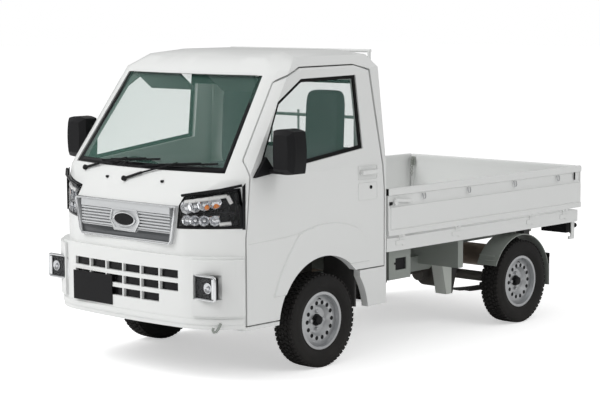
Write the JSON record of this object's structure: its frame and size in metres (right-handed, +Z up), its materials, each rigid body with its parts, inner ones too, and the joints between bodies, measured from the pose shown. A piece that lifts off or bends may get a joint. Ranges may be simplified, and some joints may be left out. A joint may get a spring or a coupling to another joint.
{
  "type": "kei truck",
  "caption": "Small cab-over truck with a drop-side bed: doors, gates and tailgate swing, front wheels steer and all wheels roll.",
  "frame": {"origin": "on the ground under the middle of the whole truck", "axes": "+Z up, -Y to the front of the truck, +X to its left side"},
  "size_m": [1.874, 3.395, 1.78],
  "materials": {
    "body_white": "gloss white paint",
    "chassis_paint": "grey green chassis paint",
    "cast_iron": "dark castings",
    "exhaust_steel": "heat-stained steel",
    "glass": "lightly tinted glass",
    "tyre": "black rubber",
    "wheel_silver": "silver painted steel",
    "black_plastic": "satin black plastic",
    "lamp_lens": "clear lens over bright reflector",
    "grille_silver": "silver painted plastic",
    "seat_cloth": "dark grey cloth"
  },
  "bodies": {
    "root": {"battery_box": "chassis_paint", "bed_floor": "body_white", "bed_front_board": "body_white", "bed_hinges": "body_white", "cab_floor": "body_white", "cab_shell": "body_white", "dashboard": "black_plastic", "engine": "cast_iron", "exhaust": "exhaust_steel", "fog_lamps": "lamp_lens", "frame_rails": "chassis_paint", "front_bumper": "body_white", "front_suspension": "chassis_paint", "fuel_tank": "chassis_paint", "guard_frame": "body_white", "headlamp_left": "lamp_lens", "headlamp_right": "lamp_lens", "interior_mirror": "black_plastic", "leaf_springs": "chassis_paint", "mudguards": "black_plastic", "number_plate_front": "black_plastic", "propshaft": "chassis_paint", "quarter_left": "body_white", "quarter_right": "body_white", "rear_axle": "chassis_paint", "rear_lamps": "lamp_lens", "rear_window": "glass", "seat_backs": "seat_cloth", "seat_cushions": "seat_cloth", "steering_column": "black_plastic", "upper_grille": "grille_silver", "windshield": "glass"},
    "door_left": {"door_left_glass": "glass", "door_left_handle": "black_plastic", "door_left_mirror": "black_plastic", "door_left_panel": "body_white"},
    "gate_left": {"gate_left": "body_white"},
    "knuckle_left": {"knuckle_left": "cast_iron"},
    "wheel_front_left": {"wheel_front_left": "wheel_silver", "tyre_front_left": "tyre"},
    "wheel_rear_left": {"wheel_rear_left": "wheel_silver", "tyre_rear_left": "tyre"},
    "door_right": {"door_right_glass": "glass", "door_right_handle": "black_plastic", "door_right_mirror": "black_plastic", "door_right_panel": "body_white"},
    "gate_right": {"gate_right": "body_white"},
    "knuckle_right": {"knuckle_right": "cast_iron"},
    "wheel_front_right": {"wheel_front_right": "wheel_silver", "tyre_front_right": "tyre"},
    "wheel_rear_right": {"wheel_rear_right": "wheel_silver", "tyre_rear_right": "tyre"},
    "tailgate": {"tailgate": "body_white"},
    "steering_wheel": {"steering_wheel": "black_plastic"}
  },
  "joints": [
    {"name": "door_left_hinge", "type": "hinge", "parent": "root", "child": "door_left", "pos_m": [0.73, -1.453, 0.8], "axis": [0, 0, -1], "range_deg": [0, 65]},
    {"name": "gate_left_hinge", "type": "hinge", "parent": "root", "child": "gate_left", "pos_m": [0.7335, 0.7, 0.686], "axis": [0, 1, 0], "range_deg": [0, 170]},
    {"name": "knuckle_left_steer", "type": "hinge", "parent": "root", "child": "knuckle_left", "pos_m": [0.6, -0.833, 0.268], "axis": [0, 0, 1], "range_deg": [-33, 33]},
    {"name": "wheel_front_left_spin", "type": "hinge", "parent": "knuckle_left", "child": "wheel_front_left", "pos_m": [0.65, -0.833, 0.268], "axis": [1, 0, 0], "continuous": true},
    {"name": "wheel_rear_left_spin", "type": "hinge", "parent": "root", "child": "wheel_rear_left", "pos_m": [0.65, 1.067, 0.268], "axis": [1, 0, 0], "continuous": true},
    {"name": "door_right_hinge", "type": "hinge", "parent": "root", "child": "door_right", "pos_m": [-0.73, -1.453, 0.8], "axis": [0, 0, 1], "range_deg": [0, 65]},
    {"name": "gate_right_hinge", "type": "hinge", "parent": "root", "child": "gate_right", "pos_m": [-0.7335, 0.7, 0.686], "axis": [0, -1, 0], "range_deg": [0, 170]},
    {"name": "knuckle_right_steer", "type": "hinge", "parent": "root", "child": "knuckle_right", "pos_m": [-0.6, -0.833, 0.268], "axis": [0, 0, 1], "range_deg": [-33, 33]},
    {"name": "wheel_front_right_spin", "type": "hinge", "parent": "knuckle_right", "child": "wheel_front_right", "pos_m": [-0.65, -0.833, 0.268], "axis": [1, 0, 0], "continuous": true},
    {"name": "wheel_rear_right_spin", "type": "hinge", "parent": "root", "child": "wheel_rear_right", "pos_m": [-0.65, 1.067, 0.268], "axis": [1, 0, 0], "continuous": true},
    {"name": "tailgate_hinge", "type": "hinge", "parent": "root", "child": "tailgate", "pos_m": [0, 1.6935, 0.686], "axis": [-1, 0, 0], "range_deg": [0, 170]},
    {"name": "steering_wheel_turn", "type": "hinge", "parent": "root", "child": "steering_wheel", "pos_m": [-0.35, -1.13, 1.035], "axis": [0, 0.6428, 0.766], "range_deg": [-495, 495]}
  ],
  "couplings": [
    {"joint": "knuckle_right_steer", "follows": "knuckle_left_steer", "ratio": 1},
    {"joint": "steering_wheel_turn", "follows": "knuckle_left_steer", "ratio": 15}
  ]
}
